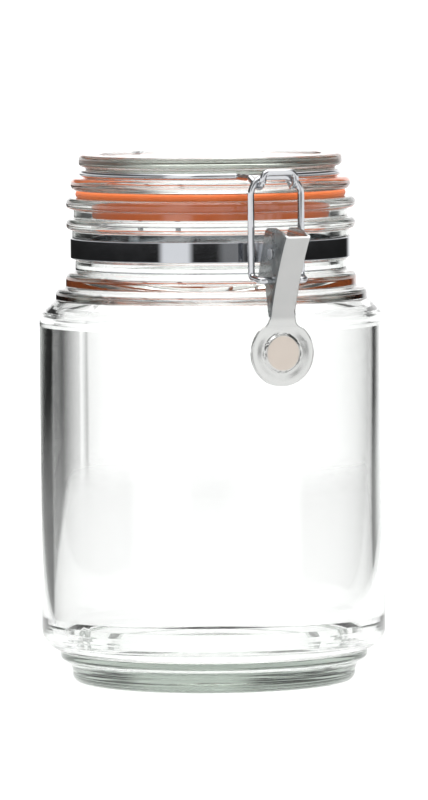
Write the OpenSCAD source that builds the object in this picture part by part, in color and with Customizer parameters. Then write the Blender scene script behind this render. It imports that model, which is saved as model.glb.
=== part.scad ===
// Round glass storage jar with a glass lid held by a wire bail clamp.
// Origin: jar axis on the plane the foot stands on. +Z up, clamp on the -Y side, hinge on the +Y side.

/* [Jar] */
// Outside diameter of the body
body_d = 120.8; // [118:0.1:124]
// Glass thickness of the body wall
wall = 4.2; // [3.6:0.1:4.6]
// Height of the top of the body wall, where the shoulder starts
shoulder_z = 126.9; // [90:0.1:126.9]
// Inside diameter of the mouth
mouth_d = 84; // [82:0.1:84.6]
// Thickness of the base glass under the contents
floor_z = 9.5; // [8:0.1:11]

/* [Lid and seal] */
// Thickness of the rubber seal when clamped
seal_t = 2.3; // [1.8:0.1:2.4]
// Outside diameter of the rubber seal
seal_d = 94.6; // [93:0.1:95]
// Width of the rubber seal
seal_w = 5.7; // [4.5:0.1:5.7]
// Angle that the lid swings back
lid_open = 0; // [0:1:105]

/* [Wires] */
// Diameter of the wire round the lid
lid_wire_d = 2.3; // [2:0.1:2.3]
// Diameter of the bail wire
bail_wire_d = 2.4; // [2:0.1:2.4]
// Distance between the centres of the bail's legs
bail_w = 18.7; // [18.5:0.1:20]

/* [Band] */
// Height of the steel band round the neck
band_h = 7.1; // [5.5:0.1:8]
// Thickness of the band's strip
band_t = 0.6; // [0.4:0.1:0.7]

/* [Clamp] */
// Outside width of the lever's channel
lever_w = 9.3; // [9:0.1:9.6]
// Sheet thickness of the lever and its bracket
sheet_t = 0.9; // [0.7:0.1:0.9]
// Diameter of the lever's thumb disc
disc_d = 23.6; // [20:0.1:24]
// Angle that the lever swings out
lever_open = 0; // [0:1:100]

/* [Hidden] */
$fn = 96;

play = 0.05;                    // radial clearance of every pin in its hole
pin_step = 0.01;                // how much smaller in radius a wire is than its hooked ends
body_r = body_d / 2;
mouth_r = mouth_d / 2;
rim_z = 170;                    // sealing land on top of the jar
neck_r = 48.65;                 // neck glass under the band

seal_bottom = rim_z + 0.1;
seat_z = seal_bottom + seal_t;  // underside of the lid, where the seal sits
lid_top = seat_z + 12.6;

ring_r = 44.9;                  // centre line of the wire in the lid's groove
ring_z = seat_z + 6.1;
lid_wire_r = lid_wire_d / 2;
groove_r = ring_r - lid_wire_r - 0.03;

band_r = neck_r + play;         // inside of the band
band_out = band_r + band_t;
band_z = 148.9;
band_mid = band_z + band_h / 2;

hinge = [54.4, 152.5];          // y and z of the lid hinge
knuckle_r = 2.05;
knuckle_l = 11;
arm_x = 8.6;                    // where the lid wire's arms run down behind the jar

pivot = [63.5, 152.5];          // distance from the jar axis, and height, of the lever's fixed pin
bail_pivot = [63.2, 143.3];     // the same for the holes that the bail hooks into
pin_r = 1.2;
bail_r = bail_wire_d / 2;
bail_top = [57.4, 178.7];       // the bail's top bar
face_rho = 110;                 // radius of the lever's long curved face
face_top = [76.9, 158.3];       // top edge of that face
face_tilt = 34.5;               // its slope there, away from the vertical
face_end = 18.2;                // its slope at the lower end
face_c = [face_top[0] + face_rho * cos(face_tilt), face_top[1] - face_rho * sin(face_tilt)];
disc_z = 118.2;                 // centre of the thumb disc
disc_back = body_r + 0.6;       // its inner side, just off the glass
boss_r = 6.3;                   // flat middle of the thumb disc

// Points along an arc: centre, radius, first and last angle
function arc(c, r, a0, a1, n = 8) = [for (i = [0 : n]) let (a = a0 + (a1 - a0) * i / n)
    [c[0] + r * cos(a), c[1] + r * sin(a)]];
function unit(v) = v / norm(v);
function mirrored_all(list) = [for (p = list) [-p[0], p[1], p[2]]];
function reversed(list) = [for (i = [len(list) - 1 : -1 : 0]) list[i]];

// Turns a shape's X, Y and Z directions to x, y and z, and puts its origin at p
module place(x, y, z, p) {
    multmatrix([[x[0], y[0], z[0], p[0]], [x[1], y[1], z[1], p[1]], [x[2], y[2], z[2], p[2]]]) children();
}

// Round rod from a to b
module rod(a, b, r) {
    z = unit(b - a);
    x = unit(cross(abs(z[2]) > 0.9 ? [1, 0, 0] : [0, 0, 1], z));
    place(x, cross(z, x), z, a) cylinder(h = norm(b - a), r = r, $fn = 32);
}

// Centre line along corner points, with a bend radius at each inner corner
function bent(p, bends, n = 5) = concat([p[0]],
    [for (i = [1 : len(p) - 2])
        let (u = unit(p[i] - p[i - 1]), v = unit(p[i + 1] - p[i]), turn = acos(u * v), r = bends[i - 1],
             side = unit(v - u * (u * v)), from = p[i] - u * (r * tan(turn / 2)))
        for (k = [0 : n]) let (a = turn * k / n) from + r * sin(a) * u + r * (1 - cos(a)) * side],
    [p[len(p) - 1]]);

// Directions along a centre line, and a side direction carried along it without twisting
function heading(p, i) = unit(p[min(i + 1, len(p) - 1)] - p[max(i - 1, 0)]);
function across(p, i) = i == 0 ? unit(cross(heading(p, 0), [0.3, 0.5, 0.8]))
    : let (before = across(p, i - 1), t = heading(p, i)) unit(before - t * (t * before));

// Round wire swept along a centre line
module wire(p, r) {
    sides = 12;
    rings = [for (i = [0 : len(p) - 1]) let (t = heading(p, i), x = across(p, i), y = cross(t, x))
        for (k = [0 : sides - 1]) p[i] + r * (cos(k * 360 / sides) * x + sin(k * 360 / sides) * y)];
    last = (len(p) - 1) * sides;
    polyhedron(rings, concat(
        [[for (k = [0 : sides - 1]) k]], [[for (k = [sides - 1 : -1 : 0]) last + k]],
        [for (i = [0 : len(p) - 2], k = [0 : sides - 1]) let (j = (k + 1) % sides)
            [i * sides + j, i * sides + k, (i + 1) * sides + k, (i + 1) * sides + j]]));
}

// Jar outline from the middle of the base, up the outside and down the inside
function jar_outline() = concat(
    [[0, 2.2], [34, 1.9], [38.5, 0], [46.7, 0]],
    arc([46.7, 3], 3, -80, 0, 5),                                            // heel of the foot
    arc([54.7, 3.2], 5, 180, 115, 6), arc([body_r - 8, 9.2], 1.5, -55, 0, 4), // cove above it
    [[body_r - 6.5, 10.3], [body_r - 6.1, 11.2]],
    arc([body_r - 7.5, 18.9], 7.5, -72, 0, 9),
    arc([body_r - 4.2, shoulder_z], 4.2, 0, 45, 5),
    [[55.6, 133.3], [54.7, 134.1]], arc([52.6, 136.2], 2, 0, 75, 5),           // two shoulder steps
    [[51.3, 138.7], [51, 139.4]], arc([48.6, 141.6], 2.4, 0, 75, 5),
    [[47.9, 144.6], [47.6, 145.4], [47.6, 148], [neck_r, 148.6]],
    [[neck_r, 158.3]], arc([neck_r, 160.7], 2, -78, 72, 10),                  // lower bead
    [[48.1, 163.2], [48.1, 165.8]],
    arc([neck_r, 168], 2.1, -72, 62, 10),                                     // mouth bead
    [[48.9, rim_z], [mouth_r + 0.8, rim_z]], arc([mouth_r + 0.8, rim_z - 0.8], 0.8, 90, 180, 4),
    arc([mouth_r + 8, 146.5], 8, 180, 225, 5), arc([body_r - wall - 8, shoulder_z - 1.9], 8, 45, 0, 6),
    arc([body_r - wall - 13.5, floor_z + 13.8], 13.5, 0, -88, 12), [[0, floor_z]]);

// Lid outline from the middle of its underside, round the edge and back along the top
function lid_outline() = let (z = seat_z, locate_r = seal_d / 2 - seal_w - 0.4) concat(
    [[0, z + 7.2], [31, z + 6.6]], arc([31, z + 1.1], 5.5, 85, 10, 6),
    [[37.2, z - 1.4], [locate_r - 0.5, z - 1.8], [locate_r, z - 1.2], [locate_r, z]],
    arc([46.85, z + 2.25], 2.25, -90, 90, 12),                                // lower flange
    arc([groove_r + 1, z + 5.5], 1, 270, 180, 4), arc([groove_r + 1, z + 7.4], 1, 180, 90, 4),
    arc([44.9, z + 9.7], 1.3, -90, 0, 4), arc([44.7, z + 11.1], 1.5, 0, 90, 5), // top rim
    [[39.6, lid_top], [38.9, lid_top - 0.5], [0, lid_top - 0.7]]);

module jar_body() {
    color([0.80, 0.88, 0.86, 0.45]) rotate_extrude($fn = 180) polygon(jar_outline());
}

module jar_lid() {
    color([0.80, 0.88, 0.86, 0.5]) rotate_extrude($fn = 180) polygon(lid_outline());
}

module seal_ring() {
    edge = seal_t / 2;
    color([0.86, 0.40, 0.16]) rotate_extrude($fn = 180) polygon(concat(
        [[seal_d / 2 - seal_w, seal_bottom]],
        arc([seal_d / 2 - edge, seal_bottom + edge], edge, -90, 90, 10),
        [[seal_d / 2 - seal_w, seat_z]]));
}

// One wire: catch in front, ring in the groove, arms behind, and hooked ends that turn in the hinge
module lid_wire() {
    front = 16;   // degrees from the front where the wire leaves the groove
    rear = 8;     // the same at the rear
    catch = [ring_at(front), ring_at(front) - 4.2 * [cos(front), sin(front), 0],
             [7, -51.2, ring_z - 0.3], [6.2, -57.4, ring_z - 3.6],
             [6.2, -60.4, ring_z - 1.9], [5.8, -60.4, ring_z + 1.8]];
    catch_bends = [2.6, 2.4, 2.2, 1.4, 2.3];
    arm = [ring_at(180 - rear), ring_at(180 - rear) + 3.4 * [-cos(rear), sin(rear), 0],
           [arm_x, hinge[0] - 1.6, ring_z], [arm_x, hinge[0], hinge[1]], [hook_x, hinge[0], hinge[1]]];
    half_ring = [for (a = [front + 6 : 6 : 180 - rear - 5]) ring_at(a)];
    arm_line = bent(arm, [1.7, 3, 2]);
    catch_line = bent(concat(catch, reversed(mirrored_all(catch))), concat(catch_bends, reversed(catch_bends)));
    color([0.78, 0.79, 0.80]) {
        wire(concat(reversed(arm_line), reversed(half_ring), catch_line,
                    mirrored_all(half_ring), mirrored_all(arm_line)), lid_wire_r - pin_step);
        for (side = [-1, 1]) rod([side * hook_x, hinge[0], hinge[1]], [side * 0.5, hinge[0], hinge[1]], lid_wire_r);
    }
}
hook_x = 6.2;     // where the wire's straight hooked ends start
function ring_at(a) = [ring_r * sin(a), -ring_r * cos(a), ring_z];

module neck_band() {
    gap = 1.4;    // between the strip's ends, behind the hinge bracket
    color([0.72, 0.73, 0.75]) difference() {
        translate([0, 0, band_z]) rotate_extrude($fn = 180) translate([band_r, 0]) square([band_t, band_h]);
        translate([-gap / 2, 0, band_z - 1]) cube([gap, band_out + 5, band_h + 2]);
        for (z = clamp_rivet_z) rod([0, -band_r + 5, z], [0, -band_out - 5, z], pin_r);
        for (a = hinge_rivet_a) rotate([0, 0, a]) rod([0, band_r - 5, band_mid], [0, band_out + 5, band_mid], pin_r);
    }
}
clamp_rivet_z = [band_z + 1.8, band_z + band_h - 1.8];
hinge_rivet_a = [-6.5, 6.5];

// Patch of sheet that lies round the band, from angle a - half to a + half
module saddle(a, half, h) {
    rotate([0, 0, a - half]) translate([0, 0, band_mid - h / 2])
        rotate_extrude(angle = 2 * half, $fn = 180) translate([band_out, 0]) square([sheet_t, h]);
}

// Rivet through the band along +Y, with its head on the outside
module rivet(z, out) {
    rod([0, band_r, z], [0, out, z], pin_r);
    rod([0, out, z], [0, out + 0.5, z], 1.6);
}

cheek_out = lever_w / 2 - sheet_t - 0.15;    // outer side of the bracket's cheeks

// Folded bracket: a saddle on the band and two cheeks that hold the lever's pin
module clamp_bracket() {
    color([0.66, 0.67, 0.69]) {
        difference() {
            union() {
                saddle(-90, asin(cheek_out / band_out), band_h);
                for (side = [-1, 1]) translate([side * (cheek_out - sheet_t / 2), 0, 0]) rotate([90, 0, -90])
                    linear_extrude(sheet_t, center = true) {
                        translate(pivot) circle(r = 3.3);
                        polygon([[band_out + 0.3, band_z], [pivot[0], pivot[1] - 3.3], [pivot[0], pivot[1] + 3.3],
                                 [band_out + 0.3, band_z + band_h]]);
                    }
            }
            rod([-9, -pivot[0], pivot[1]], [9, -pivot[0], pivot[1]], pin_r);
            for (z = clamp_rivet_z) rod([0, -band_r + 5, z], [0, -band_out - 5, z], pin_r);
        }
    }
}

module clamp_rivets() {
    color([0.62, 0.63, 0.65]) rotate([0, 0, 180])
        for (z = clamp_rivet_z) rivet(z, band_out + sheet_t);
}

module lever_pin() {
    half = lever_w / 2 + 0.1;
    color([0.62, 0.63, 0.65]) {
        rod([-half, -pivot[0], pivot[1]], [half, -pivot[0], pivot[1]], pin_r);
        for (side = [-1, 1])
            rod([side * half, -pivot[0], pivot[1]], [side * (half + 0.45), -pivot[0], pivot[1]], 1.9);
    }
}

// Side view of one flange: rounded ear at the top, tapering down to the disc
module flange_outline() {
    difference() {
        union() {
            translate([62.4, 150]) circle(r = 11.5);
            polygon([[56, 140.4], [61, 130], [63, 130], face_top + [0.6, -1], face_top, face_top + [-3, 1.7],
                     [66, 161.4], [62.4, 161.5]]);
        }
        translate(face_c) circle(r = face_rho, $fn = 360);
    }
}

// Side view of the curved face, as thick as the sheet
module face_outline() {
    intersection() {
        difference() {
            translate(face_c) circle(r = face_rho + sheet_t, $fn = 360);
            translate(face_c) circle(r = face_rho, $fn = 360);
        }
        polygon([face_c, face_c + 130 * [-cos(face_tilt), sin(face_tilt)],
                 face_c + 130 * [-cos(face_end), sin(face_end)]]);
    }
}

// Front view of the neck that spreads out into the disc
module neck_outline() {
    w = lever_w / 2;
    spread = 4.2;
    top = face_c[1] + face_rho * sin(face_end) + 0.3;
    side = concat([[w, top]], arc([w + spread, disc_z + 12.6], spread, 180, 235, 6), [[w + 3.5, disc_z + 7]]);
    polygon(concat(side, reversed([for (p = side) [-p[0], p[1]]])));
}

// Stamped lever: curved face, two flanges and a thumb disc with a raised flat middle
module clamp_lever() {
    color([0.80, 0.80, 0.81]) {
        difference() {
            union() {
                rotate([90, 0, -90]) linear_extrude(lever_w, center = true) face_outline();
                for (side = [-1, 1]) translate([side * (lever_w - sheet_t) / 2, 0, 0]) rotate([90, 0, -90])
                    linear_extrude(sheet_t, center = true) flange_outline();
            }
            rod([-9, -pivot[0], pivot[1]], [9, -pivot[0], pivot[1]], pin_r + play);
            rod([-9, -bail_pivot[0], bail_pivot[1]], [9, -bail_pivot[0], bail_pivot[1]], bail_r + play);
        }
        translate([0, -disc_back, 0]) rotate([90, 0, 0]) linear_extrude(sheet_t) difference() {
            neck_outline();
            translate([0, disc_z]) circle(r = disc_d / 2 - 1.5);
        }
        translate([0, -disc_back, disc_z]) rotate([90, 0, 0]) rotate_extrude() polygon(concat(
            [[0, 1.1], [boss_r - 0.6, 1.1], [boss_r + 0.3, 0.25], [boss_r + 1.2, 0], [disc_d / 2 - 0.4, 0]],
            arc([disc_d / 2 - sheet_t / 2, sheet_t / 2], sheet_t / 2, -80, 80, 6),
            [[boss_r + 1.3, sheet_t], [boss_r + 0.7, sheet_t + 0.3], [boss_r, sheet_t + 1], [boss_r - 0.3, sheet_t + 1.1],
             [0, sheet_t + 1.1]]));
    }
}

// Bent wire loop: hooked ends in the lever, two legs and a top bar under the lid's catch
module bail_wire() {
    x = bail_w / 2;
    inner = lever_w / 2 - sheet_t - 0.7;
    hook = lever_w / 2 + 0.9;
    half = [[hook, -bail_pivot[0], bail_pivot[1]], [x - 1.15, -bail_pivot[0], bail_pivot[1]],
            [x, -bail_top[0], bail_pivot[1] + 1], [x, -bail_top[0], bail_top[1]]];
    bends = [1.8, 2, 4];
    color([0.78, 0.79, 0.80]) {
        wire(bent(concat(half, reversed(mirrored_all(half))), concat(bends, reversed(bends))), bail_r - pin_step);
        for (side = [-1, 1]) rod([side * hook, -bail_pivot[0], bail_pivot[1]],
                                 [side * inner, -bail_pivot[0], bail_pivot[1]], bail_r);
    }
}

// Strip riveted to the band behind the jar, rolled into a tube that the lid wire turns in
module hinge_bracket() {
    leaf_z = hinge[1] + knuckle_r - sheet_t;
    color([0.66, 0.67, 0.69]) difference() {
        union() {
            saddle(90, 9.5, band_h);
            rod([-knuckle_l / 2, hinge[0], hinge[1]], [knuckle_l / 2, hinge[0], hinge[1]], knuckle_r);
            translate([-knuckle_l / 2, band_out + 0.3, leaf_z]) cube([knuckle_l, hinge[0] - band_out - 0.3, sheet_t]);
        }
        rod([-9, hinge[0], hinge[1]], [9, hinge[0], hinge[1]], lid_wire_r + play);
        for (a = hinge_rivet_a) rotate([0, 0, a]) rod([0, band_r - 5, band_mid], [0, band_out + 5, band_mid], pin_r);
    }
}

module hinge_rivets() {
    color([0.62, 0.63, 0.65]) for (a = hinge_rivet_a) rotate([0, 0, a]) rivet(band_mid, band_out + sheet_t);
}

// Lid parts turned back about the hinge
module with_lid() {
    translate([0, hinge[0], hinge[1]]) rotate([-lid_open, 0, 0]) translate([0, -hinge[0], -hinge[1]]) children();
}

// Lever parts swung out about the fixed pin
module with_lever() {
    translate([0, -pivot[0], pivot[1]]) rotate([-lever_open, 0, 0]) translate([0, pivot[0], -pivot[1]]) children();
}

// The bail turns back in the lever by most of the lever's own angle, so that its bar lifts off the catch
module with_bail() {
    back = 0.75 * lever_open;
    with_lever() translate([0, -bail_pivot[0], bail_pivot[1]]) rotate([back, 0, 0])
        translate([0, bail_pivot[0], -bail_pivot[1]]) children();
}

jar_body();
with_lid() jar_lid();
with_lid() seal_ring();
with_lid() lid_wire();
neck_band();
clamp_bracket();
clamp_rivets();
lever_pin();
with_lever() clamp_lever();
with_bail() bail_wire();
hinge_bracket();
hinge_rivets();
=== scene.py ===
import bmesh
import bpy
from math import ceil, cos, hypot, pi, radians, sin, sqrt, tan
from mathutils import Matrix, Vector


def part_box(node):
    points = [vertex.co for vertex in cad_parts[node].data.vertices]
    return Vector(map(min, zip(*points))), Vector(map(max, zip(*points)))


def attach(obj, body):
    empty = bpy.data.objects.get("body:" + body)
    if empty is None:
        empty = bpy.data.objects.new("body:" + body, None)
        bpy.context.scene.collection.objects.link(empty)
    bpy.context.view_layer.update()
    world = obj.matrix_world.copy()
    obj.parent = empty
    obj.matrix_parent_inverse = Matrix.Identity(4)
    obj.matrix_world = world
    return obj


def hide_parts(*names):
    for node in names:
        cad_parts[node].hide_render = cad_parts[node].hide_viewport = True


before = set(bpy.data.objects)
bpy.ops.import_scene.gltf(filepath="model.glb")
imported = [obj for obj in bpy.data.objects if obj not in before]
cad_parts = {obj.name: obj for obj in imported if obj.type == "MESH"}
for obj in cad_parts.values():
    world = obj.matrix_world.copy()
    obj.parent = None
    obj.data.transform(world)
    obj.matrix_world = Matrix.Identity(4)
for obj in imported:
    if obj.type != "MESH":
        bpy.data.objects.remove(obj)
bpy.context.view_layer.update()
scene = bpy.context.scene
MM = 0.001

# Camera: a long lens, a little higher than the lid and far from the jar, turned a little to the left so
# that the clamp stands right of the middle. It is aimed just above the middle of the jar's height.
jar_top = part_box("jar_lid")[1].z
view_azimuth = radians(-23)
view_distance = 2.70
view_height = 0.277
lens_length, sensor_width = 347, 36
roll = radians(-0.45)
aim = Vector((0.0006, -0.0003, jar_top / 2 + 0.006))
camera = bpy.data.objects.new("camera", bpy.data.cameras.new("camera"))
scene.collection.objects.link(camera)
camera.data.sensor_width = sensor_width
camera.data.lens = lens_length
camera.location = (view_distance * sin(view_azimuth), -view_distance * cos(view_azimuth), view_height)
camera.rotation_euler = (aim - camera.location).to_track_quat("-Z", "Y").to_euler()
camera.rotation_euler.rotate_axis("Z", roll)
camera.data.clip_end = 50
scene.camera = camera


class Value:
    """A node socket that can be used in arithmetic, which adds the nodes it needs."""

    def __init__(self, tree, socket):
        self.tree, self.socket = tree, socket

    def node(self, kind, settings=(), output=0, **inputs):
        """Any other node: its settings are set first, then its inputs by name, with links for Values."""
        made = self.tree.nodes.new("ShaderNode" + kind)
        for name, value in dict(settings).items():
            if name == "stops":
                ramp = made.color_ramp
                while len(ramp.elements) < len(value):
                    ramp.elements.new(1)
                for stop, (place, colour) in zip(ramp.elements, value):
                    stop.position, stop.color = place, (*colour, 1)
            else:
                setattr(made, name, value)
        for name, value in inputs.items():
            key = int(name[1:]) if name[0] == "i" and name[1:].isdigit() else name.replace("_", " ")
            if isinstance(value, Value):
                self.tree.links.new(value.socket, made.inputs[key])
            else:
                made.inputs[key].default_value = value
        return Value(self.tree, made.outputs[output])

    def maths(self, operation, *others):
        values = {f"i{i}": value for i, value in enumerate((self, *others))}
        return self.node("Math", {"operation": operation}, **values)

    def __add__(self, other):
        return self.maths("ADD", other)

    def __sub__(self, other):
        return self.maths("SUBTRACT", other)

    def __rsub__(self, other):
        return self.node("Math", {"operation": "SUBTRACT"}, i0=other, i1=self)

    def __mul__(self, other):
        return self.maths("MULTIPLY", other)

    def __abs__(self):
        return self.maths("ABSOLUTE")

    __radd__ = __add__
    __rmul__ = __mul__

    def step(self, low, high, bottom=0.0, top=1.0):
        """Smooth rise from bottom at low to top at high."""
        return self.node("MapRange", {"interpolation_type": "SMOOTHSTEP"}, Value=self,
                         From_Min=low, From_Max=high, To_Min=bottom, To_Max=top)

    def mix(self, first, second):
        """Blend of two colours by this value."""
        return self.node("Mix", {"data_type": "RGBA"}, output=2, i0=self, i6=first, i7=second)


def start(tree):
    """A Value on an empty tree, to call its methods from."""
    return Value(tree, None)


# Studio: an overexposed white backdrop straight behind the jar, a dark room round the sides and the front,
# two upright soft boxes and a dim one on the camera's side. Seen directly, the studio is plain white.
# Turns are in degrees round the jar from the camera's side, and rises in degrees above the horizon.
white = 1.37
degrees = 180 / pi
backdrop_start, backdrop_end, backdrop_fade = 146, -165, (14, 12)
left_box, left_box_soft = 29, (9, 16)
right_box, right_box_soft = 50, (9, 14)
dim_box, dim_box_soft, dim_box_level = 17, (5, 14), 0.22
low_middle, low_soft, low_thin, low_thin_level = 5.6, (3.0, 4.2), (-4.7, -3.7), 0.84
high_start, high_stop, high_level = (7, 12), (42, 56), 0.93
ground_stop, ground_level = (-15, -9), 0.8
darkest = 0.985
world = bpy.data.worlds.new("studio")
scene.world = world
world.use_nodes = True
tree = world.node_tree
tree.nodes.clear()
way = start(tree).node("TexCoord")
x, y, z = (way.node("SeparateXYZ", output=i, Vector=way) for i in range(3))
towards = x * sin(view_azimuth) + y * -cos(view_azimuth)
aside = x * cos(view_azimuth) + y * sin(view_azimuth)
turn = aside.maths("ARCTAN2", towards) * degrees
rise = z.maths("ARCSINE") * degrees
backdrop = turn.step(backdrop_start, backdrop_start + backdrop_fade[0])
backdrop = backdrop.maths("MAXIMUM", 1 - turn.step(backdrop_end - backdrop_fade[1], backdrop_end))
boxes = 1 - abs(turn + left_box).step(*left_box_soft)
boxes = boxes.maths("MAXIMUM", 1 - abs(turn - right_box).step(*right_box_soft))
boxes = boxes.maths("MAXIMUM", (1 - abs(turn - dim_box).step(*dim_box_soft)) * dim_box_level)
low_dark = (1 - abs(rise + low_middle).step(*low_soft)) * rise.step(*low_thin, low_thin_level, 1.0)
high_dark = rise.step(*high_start) * (1 - rise.step(*high_stop)) * high_level
ground = (1 - rise.step(*ground_stop)) * ground_level
dark = low_dark.maths("MAXIMUM", high_dark).maths("MAXIMUM", ground) * (1 - backdrop) * (1 - boxes)
seen = way.node("LightPath")
level = (1 - dark * darkest).maths("MAXIMUM", seen) * white
colour = way.node("CombineColor", Red=level, Green=level, Blue=level)
glow = way.node("Background", Color=colour, Strength=1.0)
tree.links.new(glow.socket, tree.nodes.new("ShaderNodeOutputWorld").inputs["Surface"])

# Floor: a strip of plain white paper with a fine fibre, laid flat under the jar and behind it. It fades
# out at its edges, so that no edge shows.
paper_left, paper_right, paper_front, paper_back = -0.24, 0.36, 0.8, -1.1
side_fade, end_fade = 0.05, 0.3
right = Vector((cos(view_azimuth), sin(view_azimuth), 0))
front = Vector((sin(view_azimuth), -cos(view_azimuth), 0))
sheet = bpy.data.meshes.new("paper")
paper_corners = [(paper_left, paper_front), (paper_right, paper_front),
                 (paper_right, paper_back), (paper_left, paper_back)]
sheet.from_pydata([right * u + front * v for u, v in paper_corners], [], [(3, 2, 1, 0)])
paper = bpy.data.objects.new("floor_paper", sheet)
scene.collection.objects.link(paper)
white_paper = bpy.data.materials.new("white_paper")
white_paper.use_nodes = True
tree = white_paper.node_tree
tree.nodes.clear()
spot = start(tree).node("TexCoord", output=3)
across = spot.node("VectorMath", {"operation": "DOT_PRODUCT"}, output=1, i0=spot, i1=right)
along = spot.node("VectorMath", {"operation": "DOT_PRODUCT"}, output=1, i0=spot, i1=front)
inside = across.step(paper_left, paper_left + side_fade)
inside = inside * (1 - across.step(paper_right - side_fade, paper_right))
inside = inside * along.step(paper_back, paper_back + end_fade)
inside = inside * (1 - along.step(paper_front - end_fade, paper_front))
fibres = spot.node("TexNoise", Vector=spot, Scale=600, Detail=3)
paint = spot.node("BsdfPrincipled", Base_Color=fibres.mix((0.93, 0.93, 0.93, 1), (0.96, 0.96, 0.96, 1)),
                  Roughness=0.8)
gone = spot.node("BsdfTransparent")
blend = spot.node("MixShader", i0=inside, i1=gone, i2=paint)
tree.links.new(blend.socket, tree.nodes.new("ShaderNodeOutputMaterial").inputs["Surface"])
sheet.materials.append(white_paper)

# Lamp: one large square soft light, hung two metres over the jar and facing its middle. It lights the
# paper and the tops of the steel parts.
lamp_place, lamp_size, lamp_power = Vector((0.0, 0.1, 2.0)), 1.8, 24
lamp_aim = Vector((0, 0, 0.1))
light = bpy.data.lights.new("overhead", "AREA")
light.size = lamp_size
light.energy = lamp_power
lamp = bpy.data.objects.new("overhead", light)
scene.collection.objects.link(lamp)
lamp.location = lamp_place
lamp.rotation_euler = (lamp_aim - lamp_place).to_track_quat("-Z", "Y").to_euler()

# Jar: thick glass with a stepped neck and foot, blown in a two-part mould that leaves two faint seams.
# It is clear in the wall and faintly grey-green where it is thick, and stands on the ring of its foot.
body_r = 60.4
wall = 4.2
rim_z = 170.0
neck_r = 48.65
mouth_r = 42.0
floor_z = 9.5
seam_turns = (radians(-70), radians(110))
seam_height, seam_half = 0.11, 0.7
support = 0.12
jar_corners = [  # radius, height and rounding of each corner, up the outside and down the inside
    (0, 2.2, 0), (34, 1.9, 4), (38.5, 0, 0.8), (49.7, 0, 3), (49.7, 6.4, 5), (53.9, 8.35, 1.5),
    (53.9, 11.3, 0.7), (body_r, 13.45, 7.5), (body_r, 128.6, 4.2), (54.6, 134.4, 0.7), (54.6, 137.7, 2),
    (51, 138.7, 0.7), (51, 143.4, 2.4), (47.6, 144.3, 0.8), (47.6, 148.1, 0.4),
    (neck_r, 148.65, 0.3), (neck_r, 158.75, 0.4),
    (50.65, 158.75, 1.5), (50.65, 162.65, 1.6), (48.1, 162.65, 0.6), (48.1, 166, 0.5), (50.75, 166, 1.7),
    (50.75, rim_z, 1.9), (mouth_r, rim_z, 0.9), (mouth_r, 143.2, 8), (body_r - wall, 128.3, 8),
    (body_r - wall, floor_z + 0.3, 13.5), (0, floor_z, 0)]


def rounded(corners, finest=9, longest=2.5):
    """Points along a line of corners, each rounded by its own radius, with long stretches cut up."""
    points = [Vector(corners[0][:2])]
    for before, (cx, cz, radius), after in zip(corners, corners[1:], corners[2:]):
        corner = Vector((cx, cz))
        back, on = (Vector(before[:2]) - corner).normalized(), (Vector(after[:2]) - corner).normalized()
        half = back.angle(on) / 2
        reach = radius / tan(half)
        middle = corner + (back + on).normalized() * (radius / sin(half))
        first, last = corner + back * reach - middle, corner + on * reach - middle
        spread = first.angle(last) if radius else 0
        steps = max(2, ceil(spread / radians(finest)))
        side = 1 if first.cross(last) > 0 else -1
        for i in range(steps + 1):
            turned = first.copy()
            turned.rotate(Matrix.Rotation(side * spread * i / steps, 2))
            points.append(middle + turned)
    points.append(Vector(corners[-1][:2]))
    line = [points[0]]
    for p in points[1:]:
        start_at, gap = line[-1], (p - line[-1]).length
        if gap < 0.5:
            line.append(p)
            continue
        pieces = max(1, ceil(gap / longest))
        cuts = [support / gap] + [i / pieces for i in range(1, pieces)] + [1 - support / gap, 1]
        line += [start_at.lerp(p, cut) for cut in cuts]
    return line


def new_piece(name, points, faces, material, body, slot, *nodes):
    """A smooth mesh piece, from points in millimetres, that stands for CAD nodes."""
    mesh = bpy.data.meshes.new(name)
    mesh.from_pydata([[c * MM for c in p] for p in points], [], faces)
    mesh.validate()
    mesh.polygons.foreach_set("use_smooth", [True] * len(mesh.polygons))
    piece = bpy.data.objects.new(name, mesh)
    scene.collection.objects.link(piece)
    mesh.materials.append(material)
    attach(piece, body)
    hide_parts(*nodes)
    return piece


def lathe(line, turns=288, shift=lambda turn, r, z: 0, closed=False):
    """Points and faces of a line turned round the Z axis. Ends on the axis meet in one point."""
    points, rings = [], []
    for r, z in line:
        if r < 1e-6:
            points.append((0, 0, z))
            rings.append([len(points) - 1] * turns)
            continue
        rings.append(list(range(len(points), len(points) + turns)))
        for i in range(turns):
            turn = 2 * pi * i / turns
            radius = r + shift(turn, r, z)
            points.append((radius * sin(turn), -radius * cos(turn), z))
    pairs = list(zip(rings, rings[1:])) + ([(rings[-1], rings[0])] if closed else [])
    faces = []
    for low, high in pairs:
        for i in range(turns):
            j = (i + 1) % turns
            face = (low[i], low[j], high[j], high[i])
            faces.append([v for k, v in enumerate(face) if v not in face[:k]])
    return points, faces


def glass_shift(turn, r, z):
    """Fine mould seams outside, and a slight waviness inside."""
    if r > body_r - wall + 0.1 or (z > 134 and r > 46):
        near = min(abs((turn - seam + pi) % (2 * pi) - pi) for seam in seam_turns)
        return seam_height if near * r < seam_half else 0.0
    if r > 30 and 14 < z < 140:
        return 0.035 * sin(3 * turn + z / 31) + 0.02 * sin(7 * turn - z / 17 + 1.3)
    return 0.0


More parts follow.
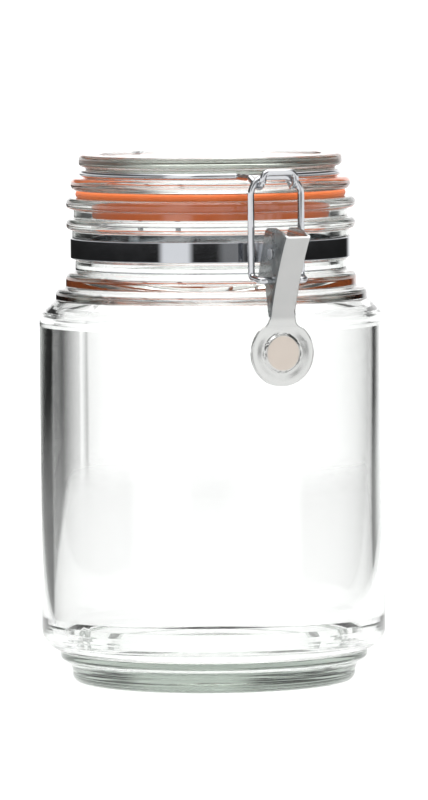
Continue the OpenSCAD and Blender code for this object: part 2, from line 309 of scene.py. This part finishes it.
def glass(name, tint, depth):
    """Clear glass that turns faintly grey-green where it is thick, with a barely uneven pressed skin."""
    made = bpy.data.materials.new(name)
    made.use_nodes = True
    tree = made.node_tree
    tree.nodes.clear()
    spot = start(tree).node("TexCoord", output=3)
    soft = spot.node("TexNoise", Vector=spot, Scale=55, Detail=2)
    skin = spot.node("Bump", Strength=0.03, Distance=0.0004, Height=soft)
    shader = spot.node("BsdfPrincipled", Base_Color=(1, 1, 1, 1), Roughness=0.015, IOR=1.5,
                       Transmission_Weight=1.0, Normal=skin)
    inside = spot.node("VolumeAbsorption", Color=tint, Density=depth)
    out = tree.nodes.new("ShaderNodeOutputMaterial")
    tree.links.new(shader.socket, out.inputs["Surface"])
    tree.links.new(inside.socket, out.inputs["Volume"])
    return made


jar_glass = glass("jar_glass", (0.42, 0.49, 0.43, 1), 19)
jar_line = rounded(jar_corners)
jar = new_piece("jar_glass_body", *lathe(jar_line, shift=glass_shift), jar_glass, "jar", "clear_glass",
                "jar_body")

# Neck band: a strip of polished steel with rounded edges, bent round the neck under the beads. The clamp's
# bracket is riveted to its front and the hinge's bracket to its back.
band_in, band_out = 48.7, 49.3
band_low, band_high = 148.9, 156.0


def metal(name, tone, rough, grain=(1, 1, 1), marks=0.06, wear=0.02):
    """Steel with fine marks drawn out along its grain, in roughness and in the skin."""
    made = bpy.data.materials.new(name)
    made.use_nodes = True
    tree = made.node_tree
    tree.nodes.clear()
    spot = start(tree).node("TexCoord", output=3)
    drawn = spot.node("Mapping", Vector=spot, Scale=grain)
    fine = spot.node("TexNoise", Vector=drawn, Scale=900, Detail=3)
    cloud = spot.node("TexNoise", Vector=spot, Scale=140, Detail=2)
    roughness = (fine - 0.5) * marks + (cloud - 0.5) * marks + rough
    skin = spot.node("Bump", Strength=0.15, Distance=wear * MM, Height=fine)
    light = tuple(min(1, c * 1.06) for c in tone)
    colour = cloud.mix((*tone, 1), (*light, 1))
    shader = spot.node("BsdfPrincipled", Base_Color=colour, Metallic=1.0, Roughness=roughness, Normal=skin)
    tree.links.new(shader.socket, tree.nodes.new("ShaderNodeOutputMaterial").inputs["Surface"])
    return made


band_steel = metal("polished_band", (0.45, 0.465, 0.49), 0.028, (1, 1, 12), 0.03, 0.004)
band_edge = 0.22
band_line = rounded([(band_in, 152, 0), (band_in, band_low, band_edge), (band_out, band_low, band_edge),
                     (band_out, band_high, band_edge), (band_in, band_high, band_edge), (band_in, 153, 0)],
                    finest=20)
new_piece("neck_band_strip", *lathe(band_line, closed=True), band_steel, "jar", "polished_band", "neck_band")

# Clamp bracket, its rivets and the lever's pin: folded steel between the lever's flanges, riveted to the
# band, with a turned pin through its ears for the lever.
folded = metal("folded_steel", (0.50, 0.51, 0.53), 0.20, (1, 1, 1), 0.1, 0.01)
rivet_steel = metal("rivet_steel", (0.52, 0.53, 0.55), 0.3, (1, 1, 1), 0.12)


def taken(shape):
    """Points and faces of a bmesh, which is then freed."""
    shape.verts.index_update()
    points = [tuple(v.co) for v in shape.verts]
    faces = [tuple(v.index for v in f.verts) for f in shape.faces]
    shape.free()
    return points, faces


def broken_edges(node, name, material, slot, width):
    """A copy of a small steel part with its sharp edges broken and its curves smooth."""
    shape = bmesh.new()
    shape.from_mesh(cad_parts[node].data)
    bmesh.ops.remove_doubles(shape, verts=shape.verts, dist=0.002 * MM)
    bmesh.ops.dissolve_limit(shape, angle_limit=radians(1), verts=shape.verts, edges=shape.edges)
    sharp = [e for e in shape.edges if len(e.link_faces) == 2 and e.calc_face_angle(0) > radians(50)]
    bmesh.ops.bevel(shape, geom=sharp, offset=width * MM, segments=2, affect="EDGES", profile=0.6,
                    clamp_overlap=True)
    bmesh.ops.scale(shape, vec=(1 / MM, 1 / MM, 1 / MM), verts=shape.verts)
    piece = new_piece(name, *taken(shape), material, "jar", slot, node)
    piece.data.set_sharp_from_angle(angle=radians(35))


broken_edges("clamp_bracket", "clamp_bracket_folded", folded, "folded_steel", 0.12)
broken_edges("clamp_rivets", "clamp_rivet_heads", rivet_steel, "rivet_steel", 0.08)
broken_edges("lever_pin", "lever_pin_turned", rivet_steel, "rivet_steel", 0.12)

# Hinge bracket behind the jar: a steel strip rolled into a tube for the ends of the lid wire, riveted to
# the band.
broken_edges("hinge_bracket", "hinge_bracket_rolled", folded, "folded_steel", 0.1)
broken_edges("hinge_rivets", "hinge_rivet_heads", rivet_steel, "rivet_steel", 0.08)

# Seal: a flat ring of orange rubber with a rounded edge and a fine moulding line, squeezed under the lid.
# A soft lip hangs from its inner edge into the mouth.
seal_r, seal_low, seal_high = 47.3, 169.98, 172.42
seal_middle = (seal_low + seal_high) / 2
line_h = 0.12
lip_out, lip_in, lip_low = 41.9, 41.35, 163.2
seal_line = rounded([
    (lip_out, 169.0, 0), (lip_out, 168.5, 0.3), (41.3, lip_low, 0.3), (40.5, lip_low, 0.3),
    (40.9, 170.4, 0.1),
    (lip_in, 170.5, 0.1), (lip_in, seal_high, 0.1), (seal_r, seal_high, 1.0),
    (seal_r, seal_middle + line_h, 0.05), (seal_r + line_h, seal_middle, 0.05),
    (seal_r, seal_middle - line_h, 0.05), (seal_r, seal_low, 1.0), (lip_out, seal_low, 0.1),
    (lip_out, 169.5, 0)])[::-1]


def rubber(name, tone, dusty):
    """Orange rubber: matt, a little uneven in colour, with a fine powdery grain."""
    made = bpy.data.materials.new(name)
    made.use_nodes = True
    tree = made.node_tree
    tree.nodes.clear()
    spot = start(tree).node("TexCoord", output=3)
    cloud = spot.node("TexNoise", Vector=spot, Scale=90, Detail=4)
    grain = spot.node("TexNoise", Vector=spot, Scale=2200, Detail=2)
    colour = cloud.step(0.35, 0.75).mix((*tone, 1), (*dusty, 1))
    skin = spot.node("Bump", Strength=0.3, Distance=0.00005, Height=grain)
    shader = spot.node("BsdfPrincipled", Base_Color=colour, Roughness=0.42 + cloud * 0.16, Normal=skin)
    tree.links.new(shader.socket, tree.nodes.new("ShaderNodeOutputMaterial").inputs["Surface"])
    return made


orange = rubber("orange_rubber", (0.80, 0.165, 0.028), (0.84, 0.20, 0.045))
new_piece("seal", *lathe(seal_line, closed=True), orange, "lid", "orange_rubber", "seal_ring")

# Lid: pressed glass with two flanges and a groove between them for the wire, hollow underneath. It rests on
# the seal, and a short rim under it keeps it in the mouth.
seat = 172.4
lid_top = seat + 12.6
wire_r = 1.15
ring_r, ring_z = 44.9, seat + 6.1
groove = ring_r - wire_r - 0.03
lid_corners = [
    (0, seat + 7.2, 0), (34, seat + 6.6, 4), (37.2, seat - 1.6, 0.6), (40.4, seat - 1.8, 0.4),
    (41.2, seat - 1, 0.3), (41.2, seat, 0.2), (49.1, seat, 2.2), (49.1, seat + 4.5, 2.2),
    (groove, seat + 4.5, 1.1),
    (groove, seat + 8.4, 1.1), (46.2, seat + 8.4, 1.3), (46.2, lid_top, 1.5), (39.4, lid_top, 0.5),
    (38.9, lid_top - 0.6, 0.5), (0, lid_top - 0.7, 0)]
lid_glass = glass("lid_glass", (0.42, 0.465, 0.40, 1), 18)
lid_line = rounded(lid_corners)
lid = new_piece("lid_glass_disc", *lathe(lid_line), lid_glass, "lid", "lid_glass", "jar_lid")

# Lid wire: one bright wire, from its hooked ends in the hinge up behind the lid, round the groove and out in
# front, where it is bent down under the bail and up again into a catch.
hinge_y, hinge_z = 54.4, 152.5
catch_turn, rear_turn = 16, 8


def bent(corners, radii, steps=10):
    """Centre line of a wire through corners, each rounded by its bend radius."""
    line = [Vector(corners[0])]
    for before, corner, after, radius in zip(corners, corners[1:], corners[2:], radii):
        corner = Vector(corner)
        into, out_of = (corner - Vector(before)).normalized(), (Vector(after) - corner).normalized()
        turn = into.angle(out_of)
        side = (out_of - into * into.dot(out_of)).normalized()
        first = corner - into * (radius * tan(turn / 2))
        for i in range(steps + 1):
            angle = turn * i / steps
            line.append(first + into * (radius * sin(angle)) + side * (radius * (1 - cos(angle))))
    return line + [Vector(corners[-1])]


def mirrored(line):
    """The same line on the other side of the clamp."""
    return [Vector((-p[0], p[1], p[2])) for p in line]


def wire(line, radius, sides=20):
    """Points and faces of a round wire along a line, cut square at its ends."""
    line = [p for i, p in enumerate(line) if i == 0 or (p - line[i - 1]).length > 1e-4]
    heads = [(line[min(i + 1, len(line) - 1)] - line[max(i - 1, 0)]).normalized() for i in range(len(line))]
    side = heads[0].orthogonal().normalized()
    points = []
    for p, head in zip(line, heads):
        side = (side - head * side.dot(head)).normalized()
        other = head.cross(side)
        points += [p + radius * (cos(2 * pi * k / sides) * side + sin(2 * pi * k / sides) * other)
                   for k in range(sides)]
    faces = []
    for low in range(0, (len(line) - 1) * sides, sides):
        high = low + sides
        faces += [(low + k, low + (k + 1) % sides, high + (k + 1) % sides, high + k) for k in range(sides)]
    faces.append(tuple(reversed(range(sides))))
    faces.append(tuple(range(len(points) - sides, len(points))))
    return points, faces


def ring_at(turn):
    """Point of the wire's ring, by degrees from the front."""
    return Vector((ring_r * sin(radians(turn)), -ring_r * cos(radians(turn)), ring_z))


from_ring = Vector((cos(radians(catch_turn)), sin(radians(catch_turn)), 0))
catch = [ring_at(catch_turn), ring_at(catch_turn) - 4.2 * from_ring, (7, -51.2, ring_z - 0.3),
         (6.2, -57.4, ring_z - 3.6), (6.2, -60.4, ring_z - 1.9), (5.8, -60.4, ring_z + 1.8)]
catch_bends = [2.6, 2.4, 2.2, 1.4, 2.3]
at_rear = ring_at(180 - rear_turn)
arm = [at_rear, at_rear + 3.4 * Vector((-cos(radians(rear_turn)), sin(radians(rear_turn)), 0)),
       (8.6, hinge_y - 1.6, ring_z), (8.6, hinge_y, hinge_z), (0.5, hinge_y, hinge_z)]
half_ring = [ring_at(a) for a in range(catch_turn + 2, 180 - rear_turn - 1, 2)]
arm_line = bent(arm, [1.7, 3, 2])
catch_line = bent(catch + mirrored(catch)[::-1], catch_bends + catch_bends[::-1])
wire_line = arm_line[::-1] + half_ring[::-1] + catch_line + mirrored(half_ring) + mirrored(arm_line)
bright_wire = metal("bright_wire", (0.52, 0.53, 0.55), 0.07, (1, 1, 1), 0.06, 0.006)
new_piece("lid_wire_bent", *wire(wire_line, wire_r), bright_wire, "lid", "bright_wire", "lid_wire")

# Lever: stamped from steel sheet, with a long face, two flanges folded back from it and a thumb disc at its
# end, whose middle is pressed up flat. It is satin steel, with painted shade on the face above the disc and
# on the flanges.
sheet_t = 0.9
lever_w = 9.3
face_rho, face_tilt, face_end = 110, radians(34.5), radians(18.2)
face_c = Vector((76.9 + face_rho * cos(face_tilt), 158.3 - face_rho * sin(face_tilt)))
disc_z, disc_front, disc_r = 118.2, 61.9, 11.8
disc_edge = sheet_t / 2
disc_neck = 8.5
boss_r, boss_height, rim_height = 6.5, 1.1, 0.42
fold_r = 1.25
ease_r = 16


def lever_profile():
    """Front of the lever seen from the side, from the top of its face to the foot of its disc."""
    face_steps, ease_steps, disc_steps = 40, 10, 64
    line = [face_c + face_rho * Vector((-cos(t), sin(t)))
            for t in (face_tilt + (face_end - face_tilt) * i / face_steps for i in range(face_steps + 1))]
    down = Vector((-sin(face_end), -cos(face_end)))
    last = line[-1]
    drop = ease_r * (1 - cos(face_end))
    straight = (last.x - disc_front - drop) / sin(face_end)
    line.append(last + down * straight)
    middle_z = line[-1].y - ease_r * sin(face_end)
    for k in range(ease_steps - 1, -1, -1):
        angle = face_end * k / ease_steps
        line.append(Vector((disc_front + ease_r * (1 - cos(angle)), middle_z + ease_r * sin(angle))))
    foot = disc_z - disc_r + disc_edge
    top = line[-1].y
    for k in range(1, disc_steps + 1):
        share = 1 - k / disc_steps
        if k > disc_steps / 2:
            share = 0.5 + 0.5 * cos(pi * k / disc_steps)
        line.append(Vector((disc_front, foot + (top - foot) * share)))
    return line


def eased(share):
    """A share from 0 to 1, held at its ends and eased between them."""
    share = min(1, max(0, share))
    return share * share * (3 - 2 * share)


def folded_at(z):
    """How far the edges are folded back at this height: 0 on the disc, 1 beside the flanges."""
    return eased((z - 130.5) / 3.5)


def half_width(z):
    """Half the width of the face, the neck that flares below it, or the disc."""
    disc = disc_r - disc_edge
    above_disc = z - disc_z
    if above_disc < disc_neck:
        return sqrt(max(0.0, disc ** 2 - above_disc ** 2))
    at_disc = sqrt(disc ** 2 - disc_neck ** 2)
    neck = lever_w / 2 - disc_edge * (1 - folded_at(z))
    share = min(1, (above_disc - disc_neck) / 4.6)
    return neck + (at_disc - neck) * (1 - sqrt(max(0, 1 - (1 - share) ** 2)))


def relief(x, z):
    """Height of the disc's raised middle and of its dished rim, above the flat sheet."""
    above_disc = z - disc_z
    r = hypot(x, above_disc)
    if r > disc_r + 2:
        return 0.0
    boss = 1 - eased((r - boss_r + 0.45) / 0.95)
    rim = eased((r - 6.7) / 3.6) * (1 if above_disc < 4 else max(0, 1 - (above_disc - 4) / 5))
    return boss_height * boss + rim_height * rim


def lever_sheet():
    """Face, neck and disc as one sheet: front, back and rounded edges of each cross-section."""
    line = lever_profile()
    flat_steps, fold_steps, edge_steps = 44, 6, 5
    half_t, inner = sheet_t / 2, fold_r - sheet_t
    points, rings = [], []
    for i, p in enumerate(line):
        tangent = (line[min(i + 1, len(line) - 1)] - line[max(i - 1, 0)]).normalized()
        outward = Vector((-tangent.y, tangent.x))
        outward = outward if outward.x > 0 else -outward
        bend = radians(90) * folded_at(p.y)
        flat_w = max(0.02, half_width(p.y) - fold_r * sin(bend))
        across = [flat_w * (2 * k / flat_steps - 1) for k in range(flat_steps + 1)]
        bends = [bend * k / fold_steps for k in range(1, fold_steps + 1)]
        end_x = flat_w + (fold_r - half_t) * sin(bend)
        end_back = fold_r - (fold_r - half_t) * cos(bend)
        rounds = [pi * k / (edge_steps + 1) for k in range(1, edge_steps + 1)]
        edge = [(end_x + half_t * (sin(bend) * cos(a) + cos(bend) * sin(a)),
                 end_back + half_t * (sin(bend) * sin(a) - cos(bend) * cos(a))) for a in rounds]
        front_half = [(flat_w + fold_r * sin(b), fold_r - fold_r * cos(b)) for b in bends]
        back_half = [(flat_w + inner * sin(b), fold_r - inner * cos(b)) for b in bends]
        loop = [(x, 0) for x in across] + front_half + edge + back_half[::-1]
        loop += [(x, sheet_t) for x in reversed(across)]
        loop += [(-x, back) for x, back in back_half + edge[::-1] + front_half[::-1]]
        rings.append(range(len(points), len(points) + len(loop)))
        for x, back in loop:
            raised = relief(x, p.y) if p.y < 131 else 0
            place = p - outward * (back - raised)
            points.append((x, -place.x, place.y))
    count = len(rings[0])
    faces = [(low[k], low[(k + 1) % count], high[(k + 1) % count], high[k])
             for low, high in zip(rings, rings[1:]) for k in range(count)]
    faces.append(tuple(reversed(rings[0])))
    faces.append(tuple(rings[-1]))
    return points, faces


def flange(side):
    """One flange: a rounded ear round the pin, tapering down along the face to the disc."""
    behind = [face_c + (face_rho + 0.95) * Vector((-cos(t), sin(t)))
              for t in (face_tilt + (radians(18.6) - face_tilt) * i / 30 for i in range(31))]
    ear = rounded([(61.2, 130.6, 0), (60.4, 132.6, 0.5), (58.2, 141.6, 1.5), (51.6, 143.2, 1.6),
                   (58.9, 161.2, 3.4), (66.5, 161.5, 1.5), (73.0, 160.2, 0)])
    outline = behind + ear
    made = bmesh.new()
    outer, inner = side * (lever_w / 2 - 0.01), side * (lever_w / 2 - sheet_t)
    front = [made.verts.new((outer, -p.x, p.y)) for p in outline]
    back = [made.verts.new((inner, -p.x, p.y)) for p in outline]
    made.faces.new(front)
    made.faces.new(list(reversed(back)))
    for i in range(len(outline)):
        j = (i + 1) % len(outline)
        made.faces.new((front[j], front[i], back[i], back[j]))
    bmesh.ops.recalc_face_normals(made, faces=made.faces)
    rims = [e for e in made.edges if (e.verts[0] in front) == (e.verts[1] in front)]
    bmesh.ops.bevel(made, geom=rims, offset=0.18, segments=2, affect="EDGES", profile=0.6)
    return taken(made)


def together(*parts):
    """Several sets of points and faces as one."""
    points, faces = [], []
    for some_points, some_faces in parts:
        faces += [tuple(v + len(points) for v in face) for face in some_faces]
        points += some_points
    return points, faces


def welded(points, faces):
    """The same surface with doubled points joined and every face turned outward."""
    shape = bmesh.new()
    verts = [shape.verts.new(p) for p in points]
    for face in faces:
        shape.faces.new([verts[v] for v in face])
    bmesh.ops.remove_doubles(shape, verts=shape.verts, dist=0.0004)
    bmesh.ops.recalc_face_normals(shape, faces=shape.faces)
    return taken(shape)


def satin_steel(name):
    """Satin steel, drawn along the lever, duller on the flat middle of the disc, where a warm painted
    reflection is coloured in; painted shade darkens the face above the disc and the flanges.
    """
    made = bpy.data.materials.new(name)
    made.use_nodes = True
    tree = made.node_tree
    tree.nodes.clear()
    spot = start(tree).node("TexCoord", output=3)
    disc_centre = (0, -disc_front * MM, disc_z * MM)
    off_disc = spot.node("VectorMath", {"operation": "SUBTRACT"}, i0=spot, i1=disc_centre)
    in_face = off_disc.node("VectorMath", {"operation": "MULTIPLY"}, i0=off_disc, i1=(1, 0, 1))
    from_centre = in_face.node("VectorMath", {"operation": "LENGTH"}, output=1, i0=in_face)
    middle = 1 - from_centre.step(5.6 * MM, 6.3 * MM)
    drawn = spot.node("Mapping", Vector=spot, Scale=(16, 1, 1))
    lines = spot.node("TexNoise", Vector=drawn, Scale=260, Detail=3)
    cloud = spot.node("TexNoise", Vector=spot, Scale=160, Detail=2)
    pits = spot.node("TexNoise", Vector=spot, Scale=3200, Detail=2)
    steel = cloud.mix((0.53, 0.54, 0.53, 1), (0.60, 0.60, 0.59, 1))
    side_x = abs(spot.node("SeparateXYZ", Vector=spot)).step(4.2 * MM, 4.6 * MM)
    above = spot.node("SeparateXYZ", output=2, Vector=spot).step(129 * MM, 131 * MM)
    flanges = side_x * above
    # Painted shade: above the disc the face is given a darker copy of the same steel.
    face_with_painted_shade = above.mix(steel, cloud.mix((0.42, 0.425, 0.42, 1), (0.47, 0.47, 0.465, 1)))
    # Painted shade: the flanges, folded from the same sheet as the face, are coloured a darker steel.
    flange_painted_shade = flanges.mix(face_with_painted_shade, (0.29, 0.305, 0.31, 1))
    # Painted reflection: the flat middle of the disc is coloured a warm beige.
    colour = middle.mix(flange_painted_shade, (0.64, 0.575, 0.515, 1))
    roughness = 0.21 + (lines - 0.5) * 0.14 + (cloud - 0.5) * 0.1 + middle * 0.22 + flanges * 0.04
    skin = spot.node("Bump", Strength=0.12, Distance=0.03 * MM, Height=lines * (1 - middle) + pits * middle)
    shader = spot.node("BsdfPrincipled", Base_Color=colour, Metallic=1.0, Roughness=roughness, Normal=skin)
    tree.links.new(shader.socket, tree.nodes.new("ShaderNodeOutputMaterial").inputs["Surface"])
    return made


satin = satin_steel("satin_lever")
lever_shape = together(welded(*lever_sheet()), flange(-1), flange(1))
lever = new_piece("lever_stamping", *lever_shape, satin, "lever", "satin_steel", "clamp_lever")
lever.data.set_sharp_from_angle(angle=radians(40))

# Bail: a loop of bright wire, bent from one length, whose two ends are hooked into the lever's flanges and
# whose top bar sits in the catch and pulls the lid down.
bail_r = 1.2
leg_x = 9.35
half = [(3.05, -63.2, 143.3), (leg_x - 1.15, -63.2, 143.3), (leg_x, -57.4, 144.3), (leg_x, -57.4, 178.7)]
bail_bends = [1.8, 2, 6.4]
bail_line = bent(half + mirrored(half)[::-1], bail_bends + bail_bends[::-1], 14)
new_piece("bail_wire_bent", *wire(bail_line, bail_r), bright_wire, "bail", "bright_wire", "bail_wire")

# Light passes the glass without a hard shadow, and keeps on through its many layers.
for clear in (jar, lid):
    clear.visible_shadow = False
scene.cycles.max_bounces = 24
scene.cycles.transmission_bounces = 24
scene.cycles.glossy_bounces = 8
scene.cycles.transparent_max_bounces = 16
scene.view_settings.view_transform = "Standard"
